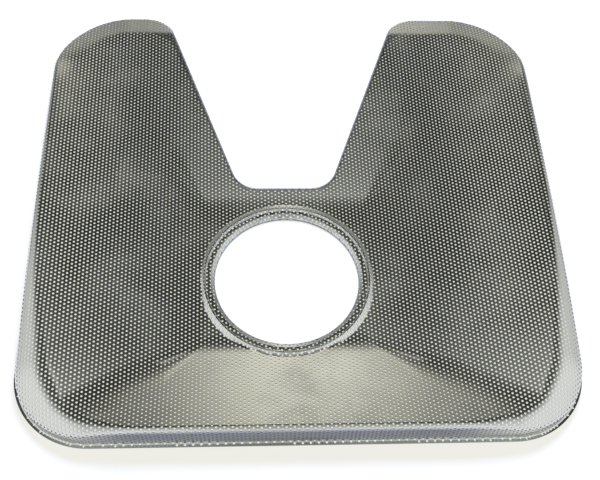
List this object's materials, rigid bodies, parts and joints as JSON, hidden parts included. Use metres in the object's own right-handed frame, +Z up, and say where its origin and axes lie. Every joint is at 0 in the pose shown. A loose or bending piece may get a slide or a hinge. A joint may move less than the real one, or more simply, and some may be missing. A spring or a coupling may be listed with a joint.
{
  "type": "dishwasher filter",
  "caption": "Pressed perforated steel filter plate for a dishwasher sump: shallow dish with rolled rim, round seat for the filter cup and a notch open to the rear.",
  "frame": {"origin": "axis of the round filter opening, in the plane that the rim's foot stands on", "axes": "+Z up along the opening's axis, +Y from the opening towards the notch and the arms, +X to the right seen from the front edge"},
  "size_m": [0.3805, 0.3654, 0.0225],
  "materials": {
    "perforated_steel": "bright rolled stainless sheet, perforated all over with small round holes"
  },
  "bodies": {
    "root": {"filter_plate": "perforated_steel"}
  },
  "joints": []
}
